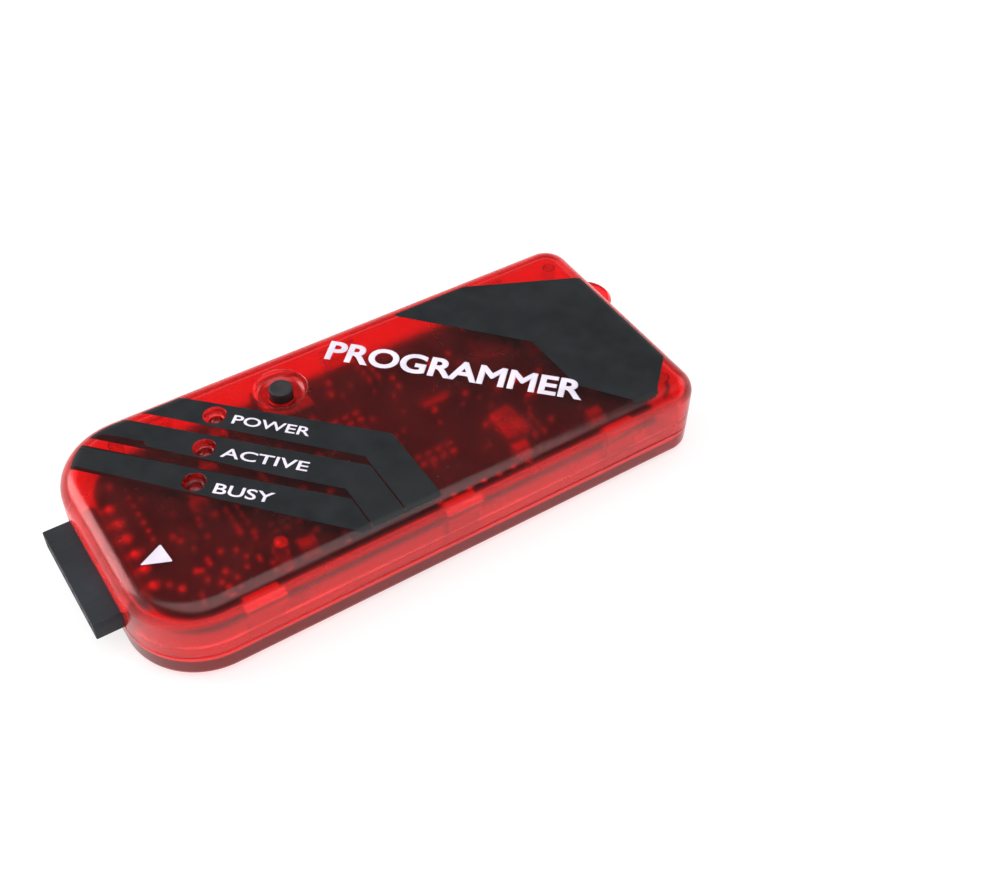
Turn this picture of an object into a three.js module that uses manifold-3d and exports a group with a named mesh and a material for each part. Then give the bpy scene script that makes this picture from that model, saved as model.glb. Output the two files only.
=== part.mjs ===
// Pocket in-circuit programmer for microcontrollers: a circuit board in a clear snap-fit case.
// Millimetres, +Z up. The origin is under the middle of the case, on the face that it rests on.
// The USB receptacle is at the +X end and the six-way programming header at the -X end.
import * as THREE from "three";
import { mergeVertices } from "three/addons/utils/BufferGeometryUtils.js";
import Module from "manifold-3d";

const wasm = await Module();
wasm.setup();

// Case
const CASE_LENGTH = 73.5;
const CASE_WIDTH = 33.1;
const CASE_HEIGHT = 10.8;
const WALL = 1.4;
const PARTING_Z = 3.45;
const HEADER_END_RADIUS = 9.1;
const USB_END_RADIUS = 3.5;
const TOP_EDGE_RADIUS = 2.4;
const BOTTOM_EDGE_RADIUS = 1.1;
const INNER_EDGE_RADIUS = 1;
const INNER_TOP_Z = CASE_HEIGHT - WALL;
const END_X = CASE_LENGTH / 2;
const SIDE_Y = CASE_WIDTH / 2;
const PROUD_X = 40; // both the header and the lanyard loop reach this far from the middle

// Board
const BOARD_TOP = 6.1;
const BOARD_THICKNESS = 1.6;
const BOARD_BOTTOM = BOARD_TOP - BOARD_THICKNESS;
const BOARD_HEADER_END = -33.4;
const BOARD_USB_END = 34.6;
const BOARD_HALF_WIDTH = 13.5;
const BOARD_RADIUS = 6;
const SEAT = 0.05; // solder film between a part and the board

// Fasteners moulded into the shells
const POSTS = [
  [-28.5, 12.5],
  [-18.8, -11],
  [33.3, 12.5],
  [33.3, -12.5],
];
const POST_RADIUS = 0.85;
const SOCKET_RADIUS = 1.8;
const SNAP_X = [-23.2, 2.1, 25];
const SNAP_WIDTH = 4.3;

// Programming header
const PITCH = 2.54;
const WAYS = 6;
const HEADER_Y = -0.33;
const HEADER_Z = BOARD_TOP - BOARD_THICKNESS / 2;
const HEADER_BACK = BOARD_HEADER_END - 0.3;

// USB receptacle, sunk into a cut-out of the board
const USB_Y = -3.4;
const USB_WIDTH = 7.7;
const USB_HEIGHT = 3.9;
const USB_Z = HEADER_Z;
const USB_FRONT = END_X - 0.3;
const USB_DEPTH = 9.2;

// Push button and indicators
const BUTTON = [-8.18, 10];
const BUTTON_RADIUS = 1.47;
const BUTTON_TOP = CASE_HEIGHT + 0.1;
const DISH_RADIUS = 3.46;
const DISH_FLOOR = 9.65;
const SWITCH_SIDE = 6;
const SWITCH_TOP = 8.2;
const WELLS = { led_power: [-16.88, 9.97], led_active: [-20.16, 5.76], led_busy: [-23.35, 1.45] };
const WELL_RADIUS = 1.43;
const WELL_FLOOR = 9.85;

const material = (color, roughness, metalness = 0) =>
  new THREE.MeshStandardMaterial({ color, roughness, metalness });

function solid(geometry) {
  const bare = geometry.clone();
  bare.deleteAttribute("normal");
  bare.deleteAttribute("uv");
  const merged = mergeVertices(bare, 1e-4);
  return new wasm.Manifold(
    new wasm.Mesh({
      numProp: 3,
      vertProperties: merged.attributes.position.array,
      triVerts: new Uint32Array(merged.index.array),
    }),
  );
}

function geometryOf(manifold) {
  const data = manifold.getMesh();
  const geometry = new THREE.BufferGeometry();
  geometry.setAttribute("position", new THREE.BufferAttribute(data.vertProperties, 3));
  geometry.setIndex(new THREE.BufferAttribute(data.triVerts, 1));
  return geometry;
}

function block(x, y, z) {
  const geometry = new THREE.BoxGeometry(x[1] - x[0], y[1] - y[0], z[1] - z[0]);
  geometry.translate((x[0] + x[1]) / 2, (y[0] + y[1]) / 2, (z[0] + z[1]) / 2);
  return solid(geometry);
}

function upright(x, y, radius, z, sides = 24) {
  const geometry = new THREE.CylinderGeometry(radius, radius, z[1] - z[0], sides);
  geometry.rotateX(Math.PI / 2);
  geometry.translate(x, y, (z[0] + z[1]) / 2);
  return solid(geometry);
}

// A profile of [radius, z] points, from the axis back to the axis, turned about a vertical axis at x, y.
function turned(x, y, profile, sides = 24) {
  const points = profile.map(([radius, z]) => new THREE.Vector2(radius, z));
  const geometry = new THREE.LatheGeometry(points, sides);
  geometry.rotateX(Math.PI / 2);
  geometry.translate(x, y, 0);
  return solid(geometry);
}

// An outline of [a, b] points, extruded upwards from z[0] to z[1].
function plate(outline, z) {
  const shape = new THREE.Shape(outline.map(([a, b]) => new THREE.Vector2(a, b)));
  const geometry = new THREE.ExtrudeGeometry(shape, { depth: z[1] - z[0], bevelEnabled: false });
  geometry.translate(0, 0, z[0]);
  return solid(geometry);
}

// A strip bent in the XZ plane: its side outline of [x, z] points, as wide as y[1] - y[0].
function bentAlongX(outline, y) {
  const shape = new THREE.Shape(outline.map(([x, z]) => new THREE.Vector2(x, z)));
  const geometry = new THREE.ExtrudeGeometry(shape, { depth: y[1] - y[0], bevelEnabled: false });
  geometry.rotateX(Math.PI / 2);
  geometry.translate(0, y[1], 0);
  return solid(geometry);
}

function union(solids) {
  return solids.reduce((joined, next) => joined.add(next));
}

// The case outline in plan, moved inwards by inset.
function caseOutline(inset) {
  const x = END_X - inset;
  const y = SIDE_Y - inset;
  const header = HEADER_END_RADIUS - inset;
  const usb = USB_END_RADIUS - inset;
  const shape = new THREE.Shape();
  shape.absarc(x - usb, y - usb, usb, 0, Math.PI / 2);
  shape.absarc(header - x, y - header, header, Math.PI / 2, Math.PI);
  shape.absarc(header - x, header - y, header, Math.PI, 1.5 * Math.PI);
  shape.absarc(x - usb, usb - y, usb, 1.5 * Math.PI, 2 * Math.PI);
  return shape;
}

// A tray-shaped volume with both its edges rounded to the same radius, in the given number of steps.
function roundedTray(inset, bottom, top, edge, steps = 3) {
  const geometry = new THREE.ExtrudeGeometry(caseOutline(inset), {
    depth: top - bottom - 2 * edge,
    curveSegments: 7,
    bevelEnabled: true,
    bevelThickness: edge,
    bevelSize: edge,
    bevelOffset: -edge,
    bevelSegments: steps,
  });
  geometry.translate(0, 0, bottom + edge);
  return solid(geometry);
}

const everywhere = [-100, 100];
const hollow = () => roundedTray(WALL, WALL, INNER_TOP_Z, INNER_EDGE_RADIUS, 1);

function headerNotch() {
  const half = (WAYS * PITCH) / 2 + 0.35;
  return block([-50, -30], [HEADER_Y - half, HEADER_Y + half], [PARTING_Z - 1, HEADER_Z + PITCH / 2 + 0.3]);
}

function usbNotch() {
  const half = USB_WIDTH / 2 + 0.35;
  const tall = USB_HEIGHT / 2 + 0.35;
  return block([30, 50], [USB_Y - half, USB_Y + half], [USB_Z - tall, USB_Z + tall]);
}

// Half ring that stands out of the USB end, for a wrist cord.
function lanyardLoop() {
  const y = 8;
  const radius = PROUD_X - END_X;
  const z = [4.9, 6.9];
  const ring = upright(END_X, y, radius, z, 32).intersect(block([END_X - 1, 50], everywhere, everywhere));
  const eye = upright(END_X + 0.6, y, 1.4, everywhere, 24);
  return ring.subtract(eye.intersect(block([END_X + 0.02, 50], everywhere, everywhere)));
}

// Pocket in the side wall that a snap tab's hook catches in.
function snapPocket(x, side) {
  const half = SNAP_WIDTH / 2 + 0.3;
  const y = [side * (SIDE_Y - 2), side * (SIDE_Y - 0.7)].sort((a, b) => a - b);
  return block([x - half, x + half], y, [6.3, 7.8]);
}

// Upright tab on the lower shell, with an outward hook near its top.
function snapTab(x, side) {
  const half = SNAP_WIDTH / 2;
  const y = [13.8, 14.8].map((v) => side * v).sort((a, b) => a - b);
  const stem = block([x - half, x + half], y, [WALL - 0.3, 7.5]);
  const hook = new THREE.Shape([
    new THREE.Vector2(14.5, 6.6),
    new THREE.Vector2(15.5, 6.6),
    new THREE.Vector2(14.5, 7.5),
  ]);
  const geometry = new THREE.ExtrudeGeometry(hook, { depth: SNAP_WIDTH, bevelEnabled: false });
  geometry.rotateX(Math.PI / 2);
  geometry.rotateZ(Math.PI / 2);
  geometry.translate(-half, 0, 0);
  if (side < 0) geometry.rotateZ(Math.PI);
  geometry.translate(x, 0, 0);
  return stem.add(solid(geometry));
}

function indicatorWell([x, y]) {
  const dish = [
    [0, WELL_FLOOR + 0.25],
    [0.45, WELL_FLOOR + 0.15],
    [0.7, WELL_FLOOR],
    [1.05, WELL_FLOOR + 0.15],
    [WELL_RADIUS, CASE_HEIGHT],
    [WELL_RADIUS, CASE_HEIGHT + 1],
    [0, CASE_HEIGHT + 1],
  ];
  return turned(x, y, dish, 20);
}

function buttonDish() {
  const [x, y] = BUTTON;
  const bowl = [
    [0, DISH_FLOOR],
    [2.2, DISH_FLOOR],
    [2.8, DISH_FLOOR + 0.2],
    [3.2, DISH_FLOOR + 0.55],
    [DISH_RADIUS, CASE_HEIGHT],
    [DISH_RADIUS, CASE_HEIGHT + 1],
    [0, CASE_HEIGHT + 1],
  ];
  return turned(x, y, bowl).add(upright(x, y, BUTTON_RADIUS + 0.2, [5, CASE_HEIGHT]));
}

function topShell() {
  const outside = roundedTray(0, 0, CASE_HEIGHT, TOP_EDGE_RADIUS).subtract(
    block(everywhere, everywhere, [-10, PARTING_Z + 0.02]),
  );
  const inside = hollow().add(roundedTray(WALL, 1, 7, INNER_EDGE_RADIUS / 2, 1));
  const posts = POSTS.map(([x, y]) => upright(x, y, POST_RADIUS, [2.6, INNER_TOP_Z + 0.3], 16));
  const lightPipes = Object.values(WELLS).map(([x, y]) => upright(x, y, 0.95, [7.4, INNER_TOP_Z + 0.2], 16));
  const cup = upright(BUTTON[0], BUTTON[1], DISH_RADIUS + 0.6, [8.8, INNER_TOP_Z + 0.3]);
  const pockets = SNAP_X.flatMap((x) => [snapPocket(x, 1), snapPocket(x, -1)]);
  const cuts = [headerNotch(), usbNotch(), buttonDish(), ...Object.values(WELLS).map(indicatorWell), ...pockets];
  return union([outside.subtract(inside), ...posts, ...lightPipes, cup, lanyardLoop()]).subtract(union(cuts));
}

function bottomShell() {
  const outside = roundedTray(0, 0, CASE_HEIGHT, BOTTOM_EDGE_RADIUS).subtract(
    block(everywhere, everywhere, [PARTING_Z - 0.02, 20]),
  );
  const tabs = SNAP_X.flatMap((x) => [snapTab(x, 1), snapTab(x, -1)]);
  const sockets = POSTS.map(([x, y]) => upright(x, y, SOCKET_RADIUS, [WALL - 0.3, BOARD_BOTTOM - 0.1], 16));
  const bores = POSTS.map(([x, y]) => upright(x, y, POST_RADIUS + 0.3, [WALL, BOARD_TOP], 16));
  return union([outside.subtract(hollow()), ...tabs, ...sockets]).subtract(union([...bores, usbNotch()]));
}

function boardOutline() {
  const x = BOARD_HEADER_END + BOARD_RADIUS;
  const y = BOARD_HALF_WIDTH - BOARD_RADIUS;
  const shape = new THREE.Shape();
  shape.moveTo(BOARD_USB_END, -BOARD_HALF_WIDTH);
  shape.lineTo(BOARD_USB_END, BOARD_HALF_WIDTH);
  shape.absarc(x, y, BOARD_RADIUS, Math.PI / 2, Math.PI);
  shape.absarc(x, -y, BOARD_RADIUS, Math.PI, 1.5 * Math.PI);
  return shape;
}

function board() {
  const geometry = new THREE.ExtrudeGeometry(boardOutline(), {
    depth: BOARD_THICKNESS,
    curveSegments: 6,
    bevelEnabled: false,
  });
  geometry.translate(0, 0, BOARD_BOTTOM);
  const postHoles = POSTS.filter(([x]) => x < 0).map(([x, y]) => upright(x, y, POST_RADIUS + 0.3, everywhere));
  const corners = [-1, 1].map((side) =>
    block([31.4, 50], [10.6, 20].map((v) => v * side).sort((a, b) => a - b), everywhere),
  );
  const cutOut = block(
    [USB_FRONT - USB_DEPTH - 1.1, 50],
    [USB_Y - USB_WIDTH / 2 - 0.3, USB_Y + USB_WIDTH / 2 + 0.3],
    everywhere,
  );
  const holes = [
    [-23, -10.4, 0.55],
    [-24.3, -8.7, 0.35],
    [-26.6, -9.4, 0.5],
    [-29.9, -8.6, 0.4],
    [-6.4, 4.6, 0.4],
    [20, -10, 0.5],
  ].map(([x, y, radius]) => upright(x, y, radius, everywhere, 12));
  const slot = union([block([7.6, 11.4], [1.4, 3.4], everywhere), upright(7.6, 2.4, 1, everywhere, 16)]);
  return solid(geometry).subtract(union([...postHoles, ...corners, cutOut, ...holes, slot]));
}

const wayY = (way) => HEADER_Y + (way - (WAYS - 1) / 2) * PITCH;

function headerHousing() {
  const half = (WAYS * PITCH) / 2 + 0.05;
  const body = block(
    [-PROUD_X, HEADER_BACK],
    [HEADER_Y - half, HEADER_Y + half],
    [HEADER_Z - PITCH / 2, HEADER_Z + PITCH / 2],
  );
  const cavities = [];
  for (let way = 0; way < WAYS; way += 1) {
    const y = wayY(way);
    cavities.push(block([-50, -30], [y - 0.45, y + 0.45], [HEADER_Z - 0.45, HEADER_Z + 0.45]));
    cavities.push(block([-PROUD_X + 0.8, HEADER_BACK - 0.8], [y - 0.8, y + 0.8], [HEADER_Z - 0.6, HEADER_Z + 0.6]));
  }
  return body.subtract(union(cavities));
}

// Two sprung tines behind one mouth of the header, and a tail soldered to the top of the board.
function headerContact(way) {
  const y = wayY(way);
  const z = [HEADER_Z - 0.2, HEADER_Z + 0.2];
  const tines = [-1, 1].map((side) =>
    block([-PROUD_X + 1.1, -34.9], [0.34, 0.5].map((v) => y + v * side).sort((a, b) => a - b), z),
  );
  const bridge = block([-35.2, -34.7], [y - 0.5, y + 0.5], z);
  const tail = [
    [-34.9, HEADER_Z - 0.15],
    [-33.55, HEADER_Z - 0.15],
    [-33.55, BOARD_TOP + SEAT],
    [-31.6, BOARD_TOP + SEAT],
    [-31.6, BOARD_TOP + 0.35],
    [-33.68, BOARD_TOP + 0.35],
    [-33.68, HEADER_Z + 0.15],
    [-34.9, HEADER_Z + 0.15],
  ];
  return union([...tines, bridge, bentAlongX(tail, [y - 0.3, y + 0.3])]);
}

function usbOutline(inset) {
  const half = USB_WIDTH / 2 - inset;
  const low = half - 0.75;
  const tall = USB_HEIGHT / 2 - inset;
  return [
    [-low, -tall],
    [low, -tall],
    [low, -tall + 1],
    [half, -tall + 1.75],
    [half, tall],
    [-half, tall],
    [-half, -tall + 1.75],
    [-low, -tall + 1],
  ];
}

// A section of [y, z] points about the middle of the receptacle, drawn along X.
function usbBar(outline, x) {
  const shape = new THREE.Shape(outline.map(([a, b]) => new THREE.Vector2(a, b)));
  const geometry = new THREE.ExtrudeGeometry(shape, { depth: x[1] - x[0], bevelEnabled: false });
  geometry.rotateX(Math.PI / 2);
  geometry.rotateZ(Math.PI / 2);
  geometry.translate(x[0], USB_Y, USB_Z);
  return solid(geometry);
}

function usbShell() {
  const x = [USB_FRONT - USB_DEPTH, USB_FRONT];
  const sheet = 0.3;
  const tube = usbBar(usbOutline(0), x).subtract(usbBar(usbOutline(sheet), [x[0] - 1, x[1] + 1]));
  const ears = [-1, 1].map((side) =>
    block(
      [x[0] + 1, x[0] + 2.6],
      [USB_WIDTH / 2 - 0.15, USB_WIDTH / 2 + 1.6].map((v) => USB_Y + v * side).sort((a, b) => a - b),
      [BOARD_TOP + SEAT, BOARD_TOP + SEAT + sheet],
    ),
  );
  return union([tube, ...ears]);
}

function usbInsulator() {
  const back = USB_FRONT - USB_DEPTH + 0.2;
  const backBlock = usbBar(usbOutline(0.5), [back, back + 2.2]);
  const tongue = block([back + 1, USB_FRONT - 0.9], [USB_Y - 2.1, USB_Y + 2.1], [USB_Z - 0.1, USB_Z + 0.65]);
  const slots = [];
  for (let pin = 0; pin < 5; pin += 1) {
    const y = USB_Y + (pin - 2) * 0.8;
    slots.push(block([back - 1, USB_FRONT - 1.5], [y - 0.25, y + 0.25], [USB_Z - 0.5, USB_Z + 0.15]));
  }
  return backBlock.add(tongue).subtract(union(slots));
}

// One of five contact strips, under the tongue and out of the back of the receptacle.
function usbContact(pin) {
  const y = USB_Y + (pin - 2) * 0.8;
  const back = USB_FRONT - USB_DEPTH;
  const strip = [
    [back - 2.3, BOARD_TOP + SEAT],
    [back - 0.9, BOARD_TOP + SEAT],
    [back - 0.9, USB_Z - 0.2],
    [USB_FRONT - 1.8, USB_Z - 0.2],
    [USB_FRONT - 1.8, USB_Z - 0.02],
    [back - 0.7, USB_Z - 0.02],
    [back - 0.7, BOARD_TOP + SEAT + 0.2],
    [back - 2.3, BOARD_TOP + SEAT + 0.2],
  ];
  return bentAlongX(strip, [y - 0.15, y + 0.15]);
}

function switchBase() {
  const [x, y] = BUTTON;
  const half = SWITCH_SIDE / 2;
  const body = block([x - half, x + half], [y - half, y + half], [BOARD_TOP + SEAT, SWITCH_TOP]);
  const channels = [-1, 1].map((side) =>
    block([x + side * 2.2 - 0.5, x + side * 2.2 + 0.5], everywhere, [BOARD_TOP + 0.35, BOARD_TOP + 0.85]),
  );
  return body.subtract(union([upright(x, y, 2.3, [7.1, 20]), ...channels]));
}

function switchCover() {
  const [x, y] = BUTTON;
  const half = SWITCH_SIDE / 2 - 0.1;
  const sheet = block([x - half, x + half], [y - half, y + half], [SWITCH_TOP + 0.03, SWITCH_TOP + 0.25]);
  return sheet.subtract(upright(x, y, BUTTON_RADIUS + 0.25, everywhere));
}

function switchPlunger() {
  const [x, y] = BUTTON;
  const profile = [
    [0, 7.7],
    [1.95, 7.7],
    [1.95, 8.05],
    [BUTTON_RADIUS, 8.05],
    [BUTTON_RADIUS, BUTTON_TOP - 0.2],
    [BUTTON_RADIUS - 0.2, BUTTON_TOP],
    [0, BUTTON_TOP],
  ];
  return turned(x, y, profile, 24);
}

function switchDome() {
  const [x, y] = BUTTON;
  const profile = [
    [0, 7.28],
    [1.2, 7.2],
    [1.9, 7.12],
    [1.9, 7.2],
    [1.2, 7.3],
    [0, 7.4],
  ];
  return turned(x, y, profile, 16);
}

// Contact strip through the base of the switch, with a foot soldered to the board at each end.
function switchTerminal(side) {
  const [x, y] = BUTTON;
  const half = SWITCH_SIDE / 2;
  const bar = block(
    [x + side * 2.2 - 0.35, x + side * 2.2 + 0.35],
    [y - half - 0.4, y + half + 0.4],
    [BOARD_TOP + 0.5, BOARD_TOP + 0.7],
  );
  const feet = [-1, 1].flatMap((end) => {
    const leg = [half + 0.2, half + 0.4].map((v) => y + v * end).sort((a, b) => a - b);
    const foot = [half + 0.2, half + 1.1].map((v) => y + v * end).sort((a, b) => a - b);
    const across = [x + side * 2.2 - 0.35, x + side * 2.2 + 0.35];
    return [
      block(across, leg, [BOARD_TOP + SEAT, BOARD_TOP + 0.7]),
      block(across, foot, [BOARD_TOP + SEAT, BOARD_TOP + 0.25]),
    ];
  });
  return union([bar, ...feet]);
}

// Gull-wing lead that leaves a package at distance reach from its middle and ends on the board.
function lead(reach, height, width) {
  const side = [
    [reach - 0.3, height + 0.08],
    [reach + 0.35, height + 0.08],
    [reach + 0.65, 0.2],
    [reach + 1.1, 0.2],
    [reach + 1.1, 0],
    [reach + 0.5, 0],
    [reach + 0.2, height - 0.08],
    [reach - 0.3, height - 0.08],
  ];
  return bentAlongX(side, [-width / 2, width / 2]);
}

// Moulded package with its leads, standing on z = 0 at the origin.
function chipPackage(length, width, height, rows) {
  const half = [length / 2, width / 2];
  const taper = 0.12;
  const foot = block([-half[0] + taper, half[0] - taper], [-half[1] + taper, half[1] - taper], [0.1, height]);
  const waist = block([-half[0], half[0]], [-half[1], half[1]], [height * 0.3, height * 0.7]);
  const leads = [];
  for (const { turns, count, pitch, width: leadWidth } of rows) {
    const reach = turns % 2 === 0 ? half[0] : half[1];
    for (let i = 0; i < count; i += 1) {
      const along = (i - (count - 1) / 2) * pitch;
      leads.push(lead(reach, height / 2, leadWidth).translate([0, along, 0]).rotate([0, 0, 90 * turns]));
    }
  }
  return union([foot, waist, ...leads]);
}

const twoRows = (count, pitch, width) => [1, 3].map((turns) => ({ turns, count, pitch, width }));
const fourRows = (count, pitch, width) => [0, 1, 2, 3].map((turns) => ({ turns, count, pitch, width }));
const smallOutline = () =>
  chipPackage(2.9, 1.3, 1, [
    { turns: 1, count: 1, pitch: 1, width: 0.4 },
    { turns: 3, count: 2, pitch: 1.9, width: 0.4 },
  ]);

// Two-ended chip component: a body between two wrapped end caps, as one solid.
function chipComponent(length, width, height) {
  const body = block([-length / 2 + 0.3, length / 2 - 0.3], [-width / 2 + 0.05, width / 2 - 0.05], [0.04, height - 0.04]);
  const caps = [-1, 1].map((side) =>
    block([side * (length / 2 - 0.25) - 0.25, side * (length / 2 - 0.25) + 0.25], [-width / 2, width / 2], [0, height]),
  );
  return union([body, ...caps]);
}

function indicatorLed() {
  const base = chipComponent(2, 1.25, 0.5);
  const lens = [
    [0, 0.3],
    [0.55, 0.3],
    [0.5, 0.75],
    [0.3, 0.9],
    [0, 0.95],
  ];
  return base.add(turned(0, 0, lens, 16));
}

// Wound core in a square ferrite cup with clipped corners.
function inductor() {
  const half = 2.5;
  const clip = 0.9;
  const outline = [
    [half, -half + clip],
    [half, half - clip],
    [half - clip, half],
    [clip - half, half],
    [-half, half - clip],
    [-half, clip - half],
    [clip - half, -half],
    [half - clip, -half],
  ];
  return plate(outline, [0, 2.3]).subtract(upright(0, 0, 2.1, [1.9, 5]).subtract(upright(0, 0, 1.8, [0, 5])));
}

function canCrystal() {
  return plate(
    [
      [2.5, -1.3],
      [2.5, 1.3],
      [2.2, 1.6],
      [-2.2, 1.6],
      [-2.5, 1.3],
      [-2.5, -1.3],
      [-2.2, -1.6],
      [2.2, -1.6],
    ],
    [0, 0.9],
  ).add(block([-2.1, 2.1], [-1.25, 1.25], [0.5, 1.15]));
}

const BLACK_EPOXY = () => material(0x1b1c1e, 0.55);
const TINNED = () => material(0xb8babd, 0.35, 0.9);
const GOLD = () => material(0xc9a24a, 0.3, 0.95);

// Board parts: name, shape, place in plan, quarter turns, side of the board, finish
const BOARD_PARTS = [
  ["microcontroller", () => chipPackage(10, 10, 1.1, fourRows(16, 0.5, 0.2)), 2, -2, 0, "under", BLACK_EPOXY],
  ["memory_chip", () => chipPackage(4.9, 3.9, 1.5, twoRows(4, 1.27, 0.4)), -9, -8, 0, "under", BLACK_EPOXY],
  ["op_amp_chip", () => chipPackage(8.7, 3.9, 1.5, twoRows(7, 1.27, 0.4)), -20, 6, 0, "under", BLACK_EPOXY],
  ["bus_buffer_chip", () => chipPackage(5, 4.4, 1.1, twoRows(7, 0.65, 0.25)), -18, -5, 0, "under", BLACK_EPOXY],
  ["regulator", () => chipPackage(6.5, 3.5, 1.6, twoRows(2, 4.6, 0.8)), 22, 8, 1, "under", BLACK_EPOXY],
  ["crystal", () => canCrystal(), 14, -7, 1, "over", TINNED],
  ["power_inductor", () => inductor(), 19, 5, 0, "over", () => material(0x3a3b3f, 0.7)],
  ["tantalum_capacitor_1", () => chipComponent(3.5, 2.8, 1.9), 25.5, 8, 1, "over", () => material(0xc58a2c, 0.5)],
  ["tantalum_capacitor_2", () => chipComponent(3.5, 2.8, 1.9), 25.5, 3.5, 0, "over", () => material(0xc58a2c, 0.5)],
  ["ceramic_capacitor_1", () => chipComponent(2, 1.25, 0.9), 13, -11, 0, "over", () => material(0xa58b67, 0.6)],
  ["ceramic_capacitor_2", () => chipComponent(2, 1.25, 0.9), -12.5, -4, 1, "over", () => material(0xa58b67, 0.6)],
  ["ceramic_capacitor_3", () => chipComponent(2, 1.25, 0.9), -15.5, -10.5, 0, "over", () => material(0xa58b67, 0.6)],
  ["ceramic_capacitor_4", () => chipComponent(2, 1.25, 0.9), 24, -11, 0, "over", () => material(0xa58b67, 0.6)],
  ["transistor_1", () => smallOutline(), -26, -2.5, 1, "over", BLACK_EPOXY],
  ["transistor_2", () => smallOutline(), -20, -8, 0, "over", BLACK_EPOXY],
  ["transistor_3", () => smallOutline(), -3, -9.5, 0, "over", BLACK_EPOXY],
  ["diode_1", () => chipComponent(3.6, 1.7, 1.1), 19, -3, 1, "over", BLACK_EPOXY],
  ["diode_2", () => chipComponent(3.6, 1.7, 1.1), -14, 0.5, 0, "over", BLACK_EPOXY],
];

const programmer = new THREE.Group();

function place(name, manifold, finish) {
  const mesh = new THREE.Mesh(geometryOf(manifold), finish);
  mesh.name = name;
  programmer.add(mesh);
  return mesh;
}

place("top_shell", topShell(), material(0xd81e22, 0.2));
place("bottom_shell", bottomShell(), material(0xd81e22, 0.2));
place("pcb", board(), material(0x3a1216, 0.5));

place("header_housing", headerHousing(), material(0x23282c, 0.6));
for (let way = 0; way < WAYS; way += 1) {
  place(`header_contact_${way + 1}`, headerContact(way), GOLD());
}

place("usb_receptacle_shell", usbShell(), material(0xc4c6c8, 0.25, 1));
place("usb_insulator", usbInsulator(), material(0x151617, 0.6));
for (let pin = 0; pin < 5; pin += 1) {
  place(`usb_contact_${pin + 1}`, usbContact(pin), GOLD());
}

place("switch_base", switchBase(), material(0x1a1b1d, 0.6));
place("switch_cover", switchCover(), TINNED());
place("switch_dome", switchDome(), TINNED());
place("switch_plunger", switchPlunger(), material(0x1f2023, 0.45));
place("switch_terminal_1", switchTerminal(-1), TINNED());
place("switch_terminal_2", switchTerminal(1), TINNED());

for (const [name, [x, y]] of Object.entries(WELLS)) {
  const led = place(name, indicatorLed(), material(0xe8e2d6, 0.3));
  led.position.set(x, y, BOARD_TOP + SEAT);
}

for (const [name, shape, x, y, turns, side, finish] of BOARD_PARTS) {
  const part = place(name, shape(), finish());
  const under = side === "under";
  part.position.set(x, y, under ? BOARD_BOTTOM - SEAT : BOARD_TOP + SEAT);
  part.rotation.set(under ? Math.PI : 0, 0, (turns * Math.PI) / 2);
}

export default programmer;
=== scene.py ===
import math
import random

import bmesh
import bpy
from mathutils import Matrix, Quaternion, Vector


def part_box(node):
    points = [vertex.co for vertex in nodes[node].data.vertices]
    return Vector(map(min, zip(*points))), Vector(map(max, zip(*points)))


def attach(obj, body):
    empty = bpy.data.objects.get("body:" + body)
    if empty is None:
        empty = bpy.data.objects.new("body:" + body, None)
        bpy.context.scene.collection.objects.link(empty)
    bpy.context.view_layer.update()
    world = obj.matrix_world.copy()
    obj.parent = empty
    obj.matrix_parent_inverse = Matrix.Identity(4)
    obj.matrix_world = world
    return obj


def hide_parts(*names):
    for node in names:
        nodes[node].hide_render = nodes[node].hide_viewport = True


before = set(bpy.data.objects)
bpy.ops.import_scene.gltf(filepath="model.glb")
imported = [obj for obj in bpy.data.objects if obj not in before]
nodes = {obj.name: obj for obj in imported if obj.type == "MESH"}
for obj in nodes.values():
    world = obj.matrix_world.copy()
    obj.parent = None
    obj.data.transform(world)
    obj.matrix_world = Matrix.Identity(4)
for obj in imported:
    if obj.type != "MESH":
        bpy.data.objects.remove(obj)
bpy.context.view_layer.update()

# ---------------------------------------------------------------------------------------------
# Lower case half. Injection-moulded clear red polycarbonate, gloss outside and lightly frosted
# inside. A tongue round its rim fits inside the upper half, six snap tabs stand along its long
# sides, and four sockets take the upper half's posts.
# ---------------------------------------------------------------------------------------------
_, case_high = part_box("bottom_shell")
HALF_LENGTH = case_high.x
HALF_WIDTH = case_high.y
HEADER_END_RADIUS = 0.0091
USB_END_RADIUS = 0.0035
WALL = 0.0014
PARTING = 0.00345
FLOOR_EDGE = 0.0011
INNER_EDGE = 0.001
TONGUE_HEIGHT = 0.0011
BODY_TINT = (0.9, 0.03, 0.034, 1)
LAMP_TINT = (0.95, 0.19, 0.2, 1)
SHEEN = (0.75, 0.75, 0.75, 1)
WALL_CLARITY = 0.95
TOP_CLARITY = 0.997
CLEARER_FROM, CLEAREST_FROM = 0.0070, 0.0088
SINK = 0.0002


def new_finish(name):
    material = bpy.data.materials.new(name)
    material.use_nodes = True
    tree = material.node_tree
    return material, tree, tree.nodes["Principled BSDF"]


def grain(tree, scale, detail=3.0, stretch=(1, 1, 1)):
    """Noise on the piece's own place, scale in waves per metre."""
    coordinates = tree.nodes.new("ShaderNodeTexCoord")
    mapping = tree.nodes.new("ShaderNodeMapping")
    mapping.inputs["Scale"].default_value = stretch
    noise = tree.nodes.new("ShaderNodeTexNoise")
    noise.inputs["Scale"].default_value = scale
    noise.inputs["Detail"].default_value = detail
    tree.links.new(coordinates.outputs["Object"], mapping.inputs["Vector"])
    tree.links.new(mapping.outputs["Vector"], noise.inputs["Vector"])
    return noise.outputs["Fac"]


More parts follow.
